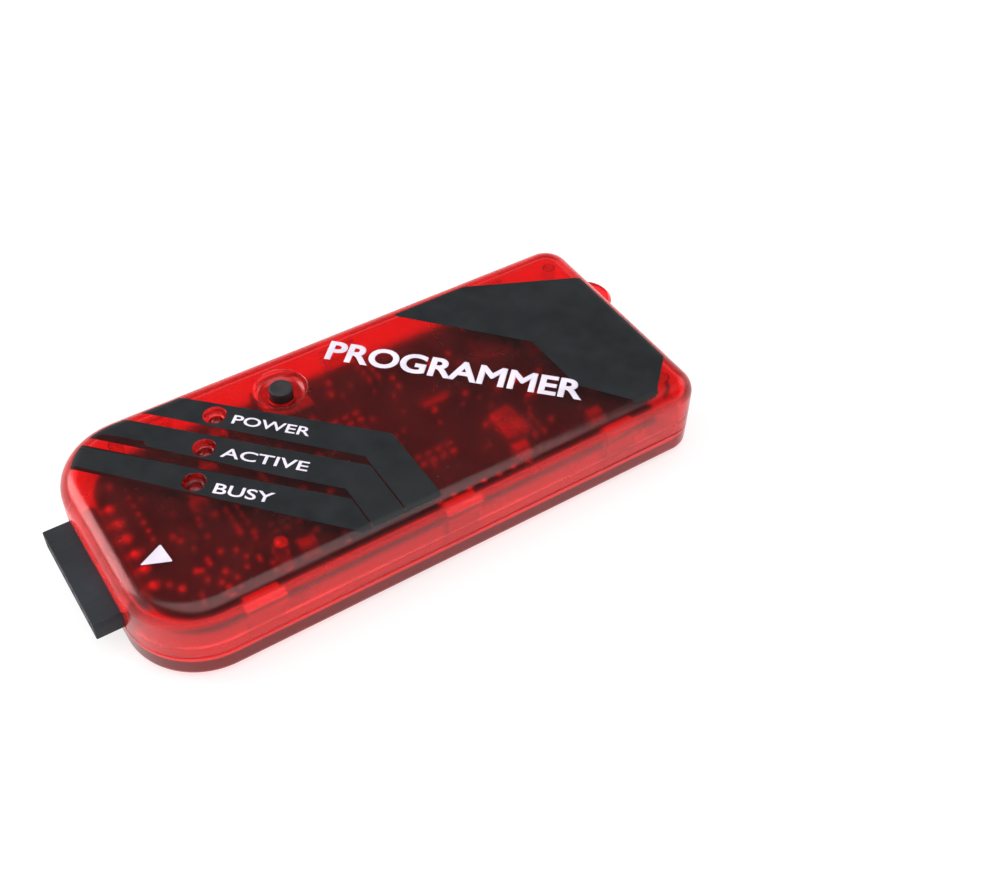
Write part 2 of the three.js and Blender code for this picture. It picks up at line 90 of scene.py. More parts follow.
def between(tree, factor, low, high, start=0.3, end=0.7):
    """A number that runs from low to high as factor runs from start to end."""
    span = tree.nodes.new("ShaderNodeMapRange")
    span.inputs["From Min"].default_value = start
    span.inputs["From Max"].default_value = end
    span.inputs["To Min"].default_value = low
    span.inputs["To Max"].default_value = high
    tree.links.new(factor, span.inputs["Value"])
    return span.outputs["Result"]


def blended(tree, factor, first, second):
    """A colour that runs from first to second with factor; either may be a colour or a socket."""
    mix = tree.nodes.new("ShaderNodeMix")
    mix.data_type = "RGBA"
    tree.links.new(factor, mix.inputs["Factor"])
    for socket, colour in ((mix.inputs["A"], first), (mix.inputs["B"], second)):
        if isinstance(colour, bpy.types.NodeSocket):
            tree.links.new(colour, socket)
        else:
            socket.default_value = (*colour, 1)
    return mix.outputs["Result"]


def relief(tree, shader, height, strength, distance):
    bump = tree.nodes.new("ShaderNodeBump")
    bump.inputs["Strength"].default_value = strength
    bump.inputs["Distance"].default_value = distance
    tree.links.new(height, bump.inputs["Height"])
    tree.links.new(bump.outputs["Normal"], shader.inputs["Normal"])


def clear_red(name, lowest, highest):
    """Clear red polycarbonate: frost between the two roughnesses, cloudier in its thick side walls."""
    material, tree, plastic = new_finish(name)
    plastic.inputs["Base Color"].default_value = BODY_TINT
    place = tree.nodes.new("ShaderNodeTexCoord")
    split = tree.nodes.new("ShaderNodeSeparateXYZ")
    tree.links.new(place.outputs["Object"], split.inputs["Vector"])
    height = split.outputs["Z"]
    clarity = between(tree, height, WALL_CLARITY, TOP_CLARITY, CLEARER_FROM, CLEAREST_FROM)
    tree.links.new(clarity, plastic.inputs["Transmission Weight"])
    plastic.inputs["IOR"].default_value = 1.5
    plastic.inputs["Specular Tint"].default_value = SHEEN
    frost = grain(tree, 260, 4)
    tree.links.new(between(tree, frost, lowest, highest), plastic.inputs["Roughness"])
    relief(tree, plastic, grain(tree, 90, 2), 0.12, 0.0004)
    lamps = tree.nodes.new("ShaderNodeBsdfTransparent")
    lamps.inputs["Color"].default_value = LAMP_TINT
    path = tree.nodes.new("ShaderNodeLightPath")
    mix = tree.nodes.new("ShaderNodeMixShader")
    tree.links.new(path.outputs["Is Shadow Ray"], mix.inputs["Fac"])
    tree.links.new(plastic.outputs["BSDF"], mix.inputs[1])
    tree.links.new(lamps.outputs["BSDF"], mix.inputs[2])
    tree.links.new(mix.outputs["Shader"], tree.nodes["Material Output"].inputs["Surface"])
    return material


def edge_distance(point):
    """How far a point in plan lies inside the case outline, and the way straight out of it."""
    radius = HEADER_END_RADIUS if point.x < 0 else USB_END_RADIUS
    beyond = Vector((
        max(abs(point.x) - HALF_LENGTH + radius, 0),
        max(abs(point.y) - HALF_WIDTH + radius, 0),
    ))
    way_out = Vector((math.copysign(beyond.x, point.x), math.copysign(beyond.y, point.y)))
    if beyond.length > 1e-7:
        return radius - beyond.length, way_out.normalized()
    return min(HALF_LENGTH - abs(point.x), HALF_WIDTH - abs(point.y)), Vector((0, 1))


def swept_case(profile):
    """The case outline carried along a profile of (inset, height), closed at both its ends."""
    bm = bmesh.new()
    inset, height = profile[0]
    bmesh.ops.create_grid(bm, x_segments=1, y_segments=1, size=1)
    for vert in bm.verts:
        vert.co.x = math.copysign(HALF_LENGTH - inset, vert.co.x)
        vert.co.y = math.copysign(HALF_WIDTH - inset, vert.co.y)
        vert.co.z = height
    for header_end, radius in ((True, HEADER_END_RADIUS), (False, USB_END_RADIUS)):
        corners = [v for v in bm.verts if (v.co.x < 0) == header_end]
        bmesh.ops.bevel(
            bm, geom=corners, offset=radius - inset, segments=18, profile=0.5,
            affect="VERTICES", material=-1,
        )
    loop = [edge for edge in bm.edges if edge.is_boundary]
    for next_inset, next_height in profile[1:]:
        made = bmesh.ops.extrude_edge_only(bm, edges=loop)["geom"]
        loop = [item for item in made if isinstance(item, bmesh.types.BMEdge)]
        for vert in (item for item in made if isinstance(item, bmesh.types.BMVert)):
            _, way_out = edge_distance(vert.co.xy)
            vert.co.xy -= way_out * (next_inset - inset)
            vert.co.z = next_height
        inset = next_inset
    bmesh.ops.contextual_create(bm, geom=loop)
    bmesh.ops.recalc_face_normals(bm, faces=bm.faces)
    return bm


def rounding(radius, height, start, end, steps=8, inset=0.0):
    """Profile points of a quarter round, from one angle to another, in degrees above the side wall."""
    angles = [math.radians(start + (end - start) * i / steps) for i in range(steps + 1)]
    return [(inset + radius - radius * math.cos(a), height + radius * math.sin(a)) for a in angles]


def block(low, high, edge=0.0, steps=3):
    """A box between two corners, its edges rounded."""
    bm = bmesh.new()
    bmesh.ops.create_cube(bm, size=1)
    size = [b - a for a, b in zip(low, high)]
    middle = [(a + b) / 2 for a, b in zip(low, high)]
    placed = Matrix.Translation(middle) @ Matrix.Diagonal((*size, 1))
    bmesh.ops.transform(bm, matrix=placed, verts=bm.verts)
    if edge:
        bmesh.ops.bevel(
            bm, geom=bm.edges, offset=edge, segments=steps, profile=0.5, affect="EDGES", material=-1
        )
    return bm


def turned(profile, middle=(0, 0), steps=48):
    """A profile of (radius, height), from the axis back to the axis, turned about an upright axis."""
    bm = bmesh.new()
    verts = [bm.verts.new((radius, 0, height)) for radius, height in profile]
    edges = [bm.edges.new(pair) for pair in zip(verts, verts[1:])]
    bmesh.ops.spin(
        bm, geom=verts + edges, cent=(0, 0, 0), axis=(0, 0, 1), angle=math.tau, steps=steps, use_merge=True
    )
    bmesh.ops.remove_doubles(bm, verts=bm.verts, dist=1e-7)
    bmesh.ops.recalc_face_normals(bm, faces=bm.faces)
    bmesh.ops.translate(bm, vec=(*middle, 0), verts=bm.verts)
    return bm


def column(radius, low, high, place, steps=40):
    return turned([(0, low), (radius, low), (radius, high), (0, high)], place, steps)


def made(name, bm, *materials, sharp=35):
    """A mesh object of this bmesh, smooth but for edges sharper than the given angle."""
    mesh = bpy.data.meshes.new(name)
    bm.to_mesh(mesh)
    bm.free()
    piece = bpy.data.objects.new(name, mesh)
    bpy.context.scene.collection.objects.link(piece)
    for material in materials:
        mesh.materials.append(material)
    mesh.shade_smooth()
    mesh.set_sharp_from_angle(angle=math.radians(sharp))
    return piece


def joined_with(piece, tools, operation):
    """The piece with each tool cut away, added or kept in common, in turn."""
    for tool in tools:
        other = made("tool", tool)
        modifier = piece.modifiers.new("shape", "BOOLEAN")
        modifier.operation = operation
        modifier.solver = "EXACT"
        modifier.object = other
        evaluated = piece.evaluated_get(bpy.context.evaluated_depsgraph_get())
        mesh = bpy.data.meshes.new_from_object(evaluated)
        piece.modifiers.clear()
        piece.data = mesh
        bpy.data.objects.remove(other)
    piece.data.name = piece.name


def settle(piece, sharp=35):
    """Welds what a cut leaves doubled, and keeps flat faces flat and rounded ones smooth."""
    bm = bmesh.new()
    bm.from_mesh(piece.data)
    bmesh.ops.remove_doubles(bm, verts=bm.verts, dist=2e-6)
    bmesh.ops.dissolve_degenerate(bm, edges=bm.edges, dist=1e-6)
    bm.to_mesh(piece.data)
    bm.free()
    piece.data.shade_smooth()
    piece.data.set_sharp_from_angle(angle=math.radians(sharp))
    normals = piece.modifiers.new("flat faces stay flat", "WEIGHTED_NORMAL")
    normals.keep_sharp = True


usb_low, usb_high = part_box("usb_receptacle_shell")
SNAP_X = (-0.0232, 0.0021, 0.025)
SNAP_HALF_WIDTH = 0.00215
TAB_INSIDE, TAB_OUTSIDE = 0.0138, 0.0148
TAB_TOP = 0.0075
HOOK_ROOT, HOOK_TIP = 0.0146, 0.0155
HOOK_LOW, HOOK_TIP_TOP, HOOK_ROOT_TOP = 0.0066, 0.0068, 0.0074
POST_PLACES = ((-0.0285, 0.0125), (-0.0188, -0.0110), (0.0333, 0.0125), (0.0333, -0.0125))
POST_RADIUS = 0.00085
SOCKET_RADIUS = 0.0018
SOCKET_TOP = 0.0044
CLEARANCE = 0.0003
USB_CLEARANCE = CLEARANCE + 0.00005


def usb_opening(extra):
    """The cut-out round the USB receptacle, this much larger than it on each side."""
    ears = 0.0016
    low = (HALF_LENGTH - 0.004, usb_low.y + ears - extra, usb_low.z - extra)
    high = (HALF_LENGTH + 0.002, usb_high.y - ears + extra, usb_high.z + extra)
    return block(low, high, 0.0006)


def snap_tab(x, side):
    """An upright tab with an outward hook near its top."""
    bm = block(
        (x - SNAP_HALF_WIDTH, TAB_INSIDE, WALL - SINK),
        (x + SNAP_HALF_WIDTH, TAB_OUTSIDE, TAB_TOP),
        0.00012, 2,
    )
    hook = bmesh.new()
    bmesh.ops.create_cube(hook, size=1)
    for vert in hook.verts:
        outer = vert.co.y > 0
        top = HOOK_TIP_TOP if outer else HOOK_ROOT_TOP
        vert.co.x = x + math.copysign(SNAP_HALF_WIDTH, vert.co.x)
        vert.co.z = top if vert.co.z > 0 else HOOK_LOW
        vert.co.y = HOOK_TIP if outer else HOOK_ROOT
    for part in (bm, hook):
        if side < 0:
            bmesh.ops.scale(part, vec=(1, -1, 1), verts=part.verts)
            bmesh.ops.reverse_faces(part, faces=part.faces)
    return [bm, hook]


lower_half = made("lower_half", swept_case(
    rounding(FLOOR_EDGE, FLOOR_EDGE, -90, 0)
    + [
        (0, PARTING - 0.00012),
        (0.00012, PARTING),
        (0.00078, PARTING),
        (0.00078, PARTING + TONGUE_HEIGHT - 0.00015),
        (0.00092, PARTING + TONGUE_HEIGHT),
        (WALL, PARTING + TONGUE_HEIGHT),
    ]
    + rounding(INNER_EDGE, WALL + INNER_EDGE, 0, -90, 5, WALL)
), clear_red("clear_red_lower", 0.14, 0.24))
joined_with(lower_half, [part for x in SNAP_X for side in (1, -1) for part in snap_tab(x, side)], "UNION")
joined_with(lower_half, [
    column(SOCKET_RADIUS, WALL - SINK, SOCKET_TOP, place, 48) for place in POST_PLACES
], "UNION")
joined_with(lower_half, [
    *[column(POST_RADIUS + CLEARANCE, WALL + 0.0003, 0.006, place, 48) for place in POST_PLACES],
    usb_opening(USB_CLEARANCE),
], "DIFFERENCE")
settle(lower_half)
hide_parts("bottom_shell")
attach(lower_half, "device")

# ---------------------------------------------------------------------------------------------
# Circuit board. Glass-epoxy laminate under a dark solder mask, with tracks that show as faint
# ridges, tinned pads and plated holes. Two posts pass through it near the header, and its corners
# at the USB end are notched round the other two.
# ---------------------------------------------------------------------------------------------
_, board_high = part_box("pcb")
BOARD_TOP = board_high.z
MASK = (0.004, 0.005, 0.004)
MASK_OVER_COPPER = (0.010, 0.012, 0.009)
MASK_IN_SHADE = (0.003, 0.004, 0.003)


def board_finish():
    material, tree, mask = new_finish("board_mask")
    coordinates = tree.nodes.new("ShaderNodeTexCoord")
    cells = tree.nodes.new("ShaderNodeTexVoronoi")
    cells.distance = "MANHATTAN"
    cells.feature = "DISTANCE_TO_EDGE"
    cells.inputs["Scale"].default_value = 340
    tree.links.new(coordinates.outputs["Object"], cells.inputs["Vector"])
    tracks = between(tree, cells.outputs["Distance"], 1, 0, 0.06, 0.1)
    cloth = between(tree, grain(tree, 1400, 2), 0.75, 1.0)
    colour = blended(tree, tracks, MASK, MASK_OVER_COPPER)
    colour = blended(tree, between(tree, grain(tree, 160, 5), 0, 0.55), colour, MASK_IN_SHADE)
    tree.links.new(colour, mask.inputs["Base Color"])
    mask.inputs["Specular IOR Level"].default_value = 0.2
    tree.links.new(between(tree, cloth, 0.38, 0.5, 0.75, 1), mask.inputs["Roughness"])
    relief(tree, mask, tracks, 0.25, 0.00004)
    return material


def dress(names, material, edge=0.0, segments=2):
    """Gives CAD nodes their finish and, where an edge radius is asked for, softened edges."""
    for name in names:
        node = nodes[name]
        for slot in node.material_slots:
            slot.material = material
        if edge:
            weld = node.modifiers.new("weld", "WELD")
            weld.merge_threshold = 1e-7
            soft = node.modifiers.new("soft edges", "BEVEL")
            soft.width = edge
            soft.segments = segments
            soft.limit_method = "ANGLE"
            soft.angle_limit = math.radians(40)


def tinned(name, colour=(0.62, 0.62, 0.64), roughness=0.32):
    """Reflowed tin: bright, with slow waves in its polish."""
    material, tree, metal = new_finish(name)
    metal.inputs["Metallic"].default_value = 0.9
    waves = grain(tree, 900, 4)
    dark = tuple(0.72 * c for c in colour)
    tree.links.new(blended(tree, between(tree, waves, 0, 1), dark, colour), metal.inputs["Base Color"])
    tree.links.new(between(tree, waves, roughness - 0.08, roughness + 0.14), metal.inputs["Roughness"])
    relief(tree, metal, waves, 0.2, 0.00003)
    return material


dress(["pcb"], board_finish())
solder = tinned("solder", (0.85, 0.84, 0.82), 0.42)

# ---------------------------------------------------------------------------------------------
# Pads and plated holes. Each is a disc of solder 0.06 mm proud of the mask: one row by the header,
# a ring of test points near the pin 1 corner, and the loose scatter of a routed two-layer board.
# ---------------------------------------------------------------------------------------------
PAD_HEIGHT = 0.00006
PAD_KEEP_OUT = 0.0011
PAD_COUNT = 130


def disc(bm, x, y, radius, top, steps=16):
    """A shallow domed disc of solder on the board."""
    made_here = bmesh.ops.create_circle(bm, cap_ends=True, radius=radius, segments=steps)["verts"]
    face = made_here[0].link_faces[0]
    bmesh.ops.translate(bm, vec=(x, y, top - 0.00002), verts=made_here)
    lifted = bmesh.ops.extrude_face_region(bm, geom=[face])["geom"]
    rim = [item for item in lifted if isinstance(item, bmesh.types.BMVert)]
    bmesh.ops.translate(bm, vec=(0, 0, 0.00002 + PAD_HEIGHT), verts=rim)
    bmesh.ops.scale(bm, vec=(0.8, 0.8, 1), space=Matrix.Translation((-x, -y, 0)), verts=rim)


pad_places = [(-0.0298, 0.0068 - 0.00145 * i, 0.0003) for i in range(6)]
pad_places += [
    (-0.0246 + 0.0026 * math.cos(math.tau * i / 9), -0.0082 + 0.0022 * math.sin(math.tau * i / 9), 0.0003)
    for i in range(9)
]
pad_places += [(0.0005 + 0.0021 * i, -0.0125 + 0.0002 * (i % 2), 0.0004) for i in range(7)]
pad_places += [(-0.0299, -0.0086, 0.00042), (-0.0276, -0.0072, 0.0004), (-0.0259, -0.0070, 0.0003)]
pad_places += [(-0.0238, 0.0012, 0.0006), (-0.0243, -0.0004, 0.0003), (-0.0212, 0.0022, 0.0004)]
pad_places += [(0.0062, 0.0064, 0.0004), (0.0048, 0.0052, 0.0003), (0.0118, 0.0077, 0.0005)]
scatter = random.Random(7)
while len(pad_places) < PAD_COUNT:
    place = (
        scatter.uniform(-0.0325, 0.026),
        scatter.uniform(-0.0128, 0.0128),
        scatter.choice((0.0002, 0.00026, 0.0004)),
    )
    crowded = any(math.dist(place[:2], other[:2]) < PAD_KEEP_OUT for other in pad_places)
    if edge_distance(Vector(place[:2]))[0] > 0.0045 and not crowded:
        pad_places.append(place)

pads_bm = bmesh.new()
for x, y, radius in pad_places:
    disc(pads_bm, x, y, radius, BOARD_TOP)
bmesh.ops.recalc_face_normals(pads_bm, faces=pads_bm.faces)
pads = made("board_pads", pads_bm, solder)
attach(pads, "device")

# ---------------------------------------------------------------------------------------------
# Six-way programming header. Matte black glass-filled nylon socket strip with soft edges, gripping
# the board's edge. Its gold-plated contacts are soldered to the board's top under six domes.
# ---------------------------------------------------------------------------------------------
HEADER_BLACK = (0.015, 0.019, 0.025)


def moulded(name, colour, roughness, scale=1500, strength=0.25, spread=0.35, stretch=(1, 1, 1)):
    """Opaque moulded plastic or ceramic: its shade and polish vary, over a fine grain."""
    material, tree, plastic = new_finish(name)
    plastic.inputs["Specular IOR Level"].default_value = 0.3
    slow = grain(tree, scale * 0.12, 3)
    fine = grain(tree, scale, 4, stretch)
    dark = tuple(c * (1 - spread) for c in colour)
    light = tuple(min(c * (1 + spread), 1) for c in colour)
    tree.links.new(blended(tree, between(tree, slow, 0, 1), dark, light), plastic.inputs["Base Color"])
    tree.links.new(between(tree, fine, roughness - 0.07, roughness + 0.09), plastic.inputs["Roughness"])
    relief(tree, plastic, fine, strength, 0.00003)
    return material


def gilded(name):
    material, tree, metal = new_finish(name)
    metal.inputs["Metallic"].default_value = 1
    rubbed = grain(tree, 1800, 3, (1, 6, 1))
    colour = blended(tree, between(tree, rubbed, 0, 1), (0.62, 0.4, 0.13), (0.85, 0.62, 0.27))
    tree.links.new(colour, metal.inputs["Base Color"])
    tree.links.new(between(tree, rubbed, 0.2, 0.36), metal.inputs["Roughness"])
    return material


header_nylon = moulded("header_nylon", HEADER_BLACK, 0.55, 1300, 0.5, 0.3, (0.25, 1.6, 1))
dress(["header_housing"], header_nylon, 0.00012)
gold = gilded("gold_plate")
contacts = [name for name in nodes if name.startswith("header_contact_")]
dress(contacts, gold)
domes_bm = bmesh.new()
for name in contacts:
    low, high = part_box(name)
    dome = bmesh.ops.create_uvsphere(domes_bm, u_segments=20, v_segments=10, radius=0.00062)["verts"]
    bmesh.ops.scale(domes_bm, vec=(1, 1, 0.62), verts=dome)
    bmesh.ops.translate(domes_bm, vec=(-0.0323, (low.y + high.y) / 2, BOARD_TOP + 0.00018), verts=dome)
header_solder = made("header_solder", domes_bm, solder)
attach(header_solder, "device")

# ---------------------------------------------------------------------------------------------
# USB receptacle. Drawn nickel-plated steel shell round a black tongue with five gold contacts,
# sunk in the board's cut-out and soldered by two ears.
# ---------------------------------------------------------------------------------------------


def nickel_finish():
    material, tree, metal = new_finish("nickel_plate")
    metal.inputs["Metallic"].default_value = 1
    drawn = grain(tree, 500, 3, (0.2, 4, 4))
    colour = blended(tree, between(tree, drawn, 0, 1), (0.5, 0.49, 0.47), (0.72, 0.71, 0.69))
    tree.links.new(colour, metal.inputs["Base Color"])
    tree.links.new(between(tree, drawn, 0.18, 0.34), metal.inputs["Roughness"])
    relief(tree, metal, drawn, 0.08, 0.00002)
    return material


dress(["usb_receptacle_shell"], nickel_finish(), 0.00008)
dress(["usb_insulator"], moulded("usb_nylon", (0.012, 0.012, 0.013), 0.5))
dress([name for name in nodes if name.startswith("usb_contact_")], gold)

# ---------------------------------------------------------------------------------------------
# Packaged parts. Black moulded epoxy chips with tinned leads, and two-ended chip parts with
# wrapped tin ends round a tan ceramic, amber or black body.
# ---------------------------------------------------------------------------------------------


def package_finish(name, body, end_share, axis):
    """Moulded body in the middle of a part and tin beyond end_share of its half length along an axis."""
    material, tree, surface = new_finish(name)
    low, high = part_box(name)
    middle = (low[axis] + high[axis]) / 2
    half = (high[axis] - low[axis]) / 2
    coordinates = tree.nodes.new("ShaderNodeTexCoord")
    split = tree.nodes.new("ShaderNodeSeparateXYZ")
    tree.links.new(coordinates.outputs["Object"], split.inputs["Vector"])
    from_middle = tree.nodes.new("ShaderNodeMath")
    from_middle.operation = "COMPARE"
    from_middle.inputs[1].default_value = middle
    from_middle.inputs[2].default_value = half * end_share
    tree.links.new(split.outputs["XYZ"[axis]], from_middle.inputs[0])
    is_body = from_middle.outputs["Value"]
    speckle = grain(tree, 2600, 3)
    dark = tuple(0.7 * c for c in body)
    light = tuple(1.3 * c for c in body)
    shade = blended(tree, between(tree, speckle, 0, 1), dark, light)
    tree.links.new(blended(tree, is_body, (0.6, 0.6, 0.62), shade), surface.inputs["Base Color"])
    tree.links.new(between(tree, is_body, 0.9, 0, 0, 1), surface.inputs["Metallic"])
    tree.links.new(between(tree, speckle, 0.35, 0.6), surface.inputs["Roughness"])
    relief(tree, surface, speckle, 0.15, 0.00002)
    return material


EPOXY = (0.014, 0.014, 0.016)
CERAMIC = (0.34, 0.23, 0.13)
AMBER = (0.55, 0.27, 0.04)
LEADED = {"memory_chip": 1, "op_amp_chip": 1, "bus_buffer_chip": 1, "regulator": 0}
LEADED.update({"transistor_1": 0, "transistor_2": 1, "transistor_3": 1})
for name, axis in LEADED.items():
    dress([name], package_finish(name, EPOXY, 0.62, axis))
dress(["microcontroller"], moulded("microcontroller_epoxy", EPOXY, 0.5, 2600, 0.15))
for name, body, axis in (
    ("tantalum_capacitor_1", AMBER, 1),
    ("tantalum_capacitor_2", AMBER, 0),
    ("ceramic_capacitor_1", CERAMIC, 0),
    ("ceramic_capacitor_2", CERAMIC, 1),
    ("ceramic_capacitor_3", CERAMIC, 0),
    ("ceramic_capacitor_4", CERAMIC, 0),
    ("diode_1", EPOXY, 1),
    ("diode_2", EPOXY, 0),
):
    dress([name], package_finish(name, body, 0.68, axis))
dress(["power_inductor"], moulded("ferrite", (0.04, 0.04, 0.044), 0.7, 2200, 0.4))
dress(["crystal"], tinned("crystal_can", (0.6, 0.6, 0.6), 0.3))

# ---------------------------------------------------------------------------------------------
# Chip resistors. Black glazed bodies 1.6 mm long with tin ends, soldered by machine in short
# rows on the board's top.
# ---------------------------------------------------------------------------------------------
RESISTOR = (0.0016, 0.0008, 0.00045)
RESISTOR_PITCH = 0.0014
RESISTOR_ROWS = (
    (-0.0205, -0.0040, 0, 3),
    (-0.0135, -0.0065, 1, 4),
    (-0.0020, -0.0030, 0, 4),
    (0.0040, 0.0090, 0, 5),
    (0.0060, -0.0065, 1, 4),
    (0.0165, -0.0100, 0, 3),
    (-0.0010, 0.0040, 1, 3),
)
resistors_bm = bmesh.new()
for x, y, turned_row, count in RESISTOR_ROWS:
    for i in range(count):
        turn = Matrix.Rotation(math.pi / 2 * turned_row, 4, "Z")
        along = Matrix.Translation((0, RESISTOR_PITCH * i, 0))
        place = Matrix.Translation((x, y, BOARD_TOP + 0.00004)) @ turn @ along
        for low, high, slot in ((-0.29, 0.29, 0), (-0.5, -0.3, 1), (0.3, 0.5, 1)):
            cube = bmesh.ops.create_cube(resistors_bm, size=1)["verts"]
            size = ((high - low) * RESISTOR[0], RESISTOR[1], RESISTOR[2])
            middle = ((high + low) / 2 * RESISTOR[0], 0, RESISTOR[2] / 2)
            moved = place @ Matrix.Translation(middle) @ Matrix.Diagonal((*size, 1))
            bmesh.ops.transform(resistors_bm, matrix=moved, verts=cube)
            for face in {face for vert in cube for face in vert.link_faces}:
                face.material_index = slot
glaze = moulded("resistor_glaze", (0.02, 0.02, 0.024), 0.3, 2600, 0.1)
resistors = made("chip_resistors", resistors_bm, glaze, solder)
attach(resistors, "device")

# ---------------------------------------------------------------------------------------------
# Indicator LEDs, unlit. Small resin blocks with tin ends on the board's top, one below each well
# of the case.
# ---------------------------------------------------------------------------------------------
LED_NODES = ("led_power", "led_active", "led_busy")
UNLIT_RESIN = (0.16, 0.13, 0.11)
for name in LED_NODES:
    dress([name], package_finish(name, UNLIT_RESIN, 0.68, 0))

# ---------------------------------------------------------------------------------------------
# Push switch. Black nylon base, tinned cover plate, snap dome and two contact strips, soldered to
# the board. The black stem is the push button, and it stands through the case's dish.
# ---------------------------------------------------------------------------------------------
stem_low, stem_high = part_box("switch_plunger")
BUTTON = ((stem_low.x + stem_high.x) / 2, (stem_low.y + stem_high.y) / 2)
STEM_RADIUS = 0.00147
FLANGE_RADIUS = stem_high.x - BUTTON[0]
STEM_BLACK = (0.022, 0.022, 0.024)

dress(["switch_base"], moulded("switch_nylon", (0.014, 0.014, 0.015), 0.55), 0.0001)
dress(["switch_cover", "switch_dome", "switch_terminal_1", "switch_terminal_2"], tinned("switch_steel"))
top = stem_high.z
crown = [
    (STEM_RADIUS - 0.00022 * (1 - math.cos(a)), top - 0.00022 * (1 - math.sin(a)))
    for a in (math.radians(15 * i) for i in range(7))
]
stem = made("button_stem", turned(
    [(0, stem_low.z), (FLANGE_RADIUS, stem_low.z), (FLANGE_RADIUS, stem_low.z + 0.00035)]
    + [(STEM_RADIUS, stem_low.z + 0.00035)]
    + crown
    + [(STEM_RADIUS * 0.62, top - 0.00001), (STEM_RADIUS * 0.55, top - 0.00005), (0, top - 0.00005)],
    BUTTON, 72
), moulded("stem_plastic", STEM_BLACK, 0.5, 3200, 0.5))
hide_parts("switch_plunger")
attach(stem, "button")

# ---------------------------------------------------------------------------------------------
# Upper case half. The same clear red polycarbonate, with a dish round the button, three dished
# wells over the LEDs, four posts that reach into the lower sockets, and the lanyard loop on its
# USB end.
# ---------------------------------------------------------------------------------------------
_, upper_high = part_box("top_shell")
CASE_TOP = upper_high.z
TOP_EDGE = 0.0024
INNER_TOP = CASE_TOP - WALL
DISH_RADIUS = 0.00346
DISH_FLOOR = 0.00965
WELL_RADIUS = 0.00143
WELL_FLOOR = 0.00985
LOOP_Y = 0.008
LOOP_LOW, LOOP_HIGH = 0.0049, 0.0069
LOOP_HOLE = 0.0014
well_places = []
for name in LED_NODES:
    low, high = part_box(name)
    well_places.append(((low.x + high.x) / 2, (low.y + high.y) / 2))


def dish_boss(radius, round_over):
    """The thickening under the dish, its lower edge rounded."""
    low = INNER_TOP - round_over
    side = [
        (radius - round_over * (1 - math.sin(a)), INNER_TOP - round_over * math.cos(a))
        for a in (math.radians(15 * i) for i in range(7))
    ]
    return turned([(0, low), *side, (radius, INNER_TOP + 0.0003), (0, INNER_TOP + 0.0003)], BUTTON, 72)


def lanyard_loop():
    """A flat half ring with soft edges, as a ring sunk half way into the end wall."""
    outer = upper_high.x - HALF_LENGTH + 0.0002
    soft = 0.00035
    bm = bmesh.new()
    section = [
        (outer - soft, LOOP_LOW),
        (outer, LOOP_LOW + soft),
        (outer, LOOP_HIGH - soft),
        (outer - soft, LOOP_HIGH),
        (0.0017, LOOP_HIGH),
        (LOOP_HOLE, LOOP_HIGH - soft),
        (LOOP_HOLE, LOOP_LOW + soft),
        (0.0017, LOOP_LOW),
    ]
    verts = [bm.verts.new((0, -radius, height)) for radius, height in section]
    edges = [bm.edges.new(pair) for pair in zip(verts, verts[1:] + verts[:1])]
    start = bm.faces.new(verts)
    bmesh.ops.spin(
        bm, geom=[*verts, *edges, start], cent=(0, 0, 0), axis=(0, 0, 1),
        angle=math.pi, steps=32, use_merge=False,
    )
    bmesh.ops.translate(bm, vec=(HALF_LENGTH - 0.0002, LOOP_Y, 0), verts=bm.verts)
    bmesh.ops.remove_doubles(bm, verts=bm.verts, dist=1e-7)
    bmesh.ops.recalc_face_normals(bm, faces=bm.faces)
    return bm


def dish(radius, floor, floor_radius, lip):
    """A round recess cut from above: flat floor, a curved side and a softened lip."""
    depth = CASE_TOP - floor
    side = [
        (floor_radius + (radius - floor_radius) * math.sin(a), floor + (depth - lip) * (1 - math.cos(a)))
        for a in (math.radians(9 * i) for i in range(1, 11))
    ]
    over = [(radius + lip * (1 - math.cos(a)), CASE_TOP - lip + lip * math.sin(a))
            for a in (math.radians(18 * i) for i in range(1, 6))]
    return [(floor_radius, floor), *side, *over, (radius + lip, CASE_TOP + 0.001), (0, CASE_TOP + 0.001)]


upper_half = made("upper_half", swept_case(
    rounding(TOP_EDGE, CASE_TOP - TOP_EDGE, 90, 0, 12)
    + [
        (0, PARTING + 0.00014),
        (0.00012, PARTING + 0.00002),
        (0.00072, PARTING + 0.00002),
        (0.00072, PARTING + TONGUE_HEIGHT + 0.00005),
        (WALL, PARTING + TONGUE_HEIGHT + 0.00012),
    ]
    + rounding(INNER_EDGE, INNER_TOP - INNER_EDGE, 0, 90, 5, WALL)
), clear_red("clear_red_upper", 0.19, 0.28))
joined_with(upper_half, [
    *[column(POST_RADIUS, 0.0026, INNER_TOP + 0.0003, place) for place in POST_PLACES],
    *[column(0.00095, 0.0074, INNER_TOP + 0.0002, place, 32) for place in well_places],
    dish_boss(DISH_RADIUS - 0.0004, 0.0006),
    lanyard_loop(),
], "UNION")
header_low, header_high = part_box("header_housing")
pockets = [
    block(
        (x - SNAP_HALF_WIDTH - CLEARANCE, min(side * 0.01455, side * 0.01585), 0.0063),
        (x + SNAP_HALF_WIDTH + CLEARANCE, max(side * 0.01455, side * 0.01585), 0.0078),
    )
    for x in SNAP_X for side in (1, -1)
]
well = [(0, WELL_FLOOR + 0.00022), (0.0004, WELL_FLOOR + 0.00015), (0.00065, WELL_FLOOR)]
well += dish(WELL_RADIUS - 0.0001, WELL_FLOOR, 0.0008, 0.0001)
stem_hole = STEM_RADIUS + 0.0002
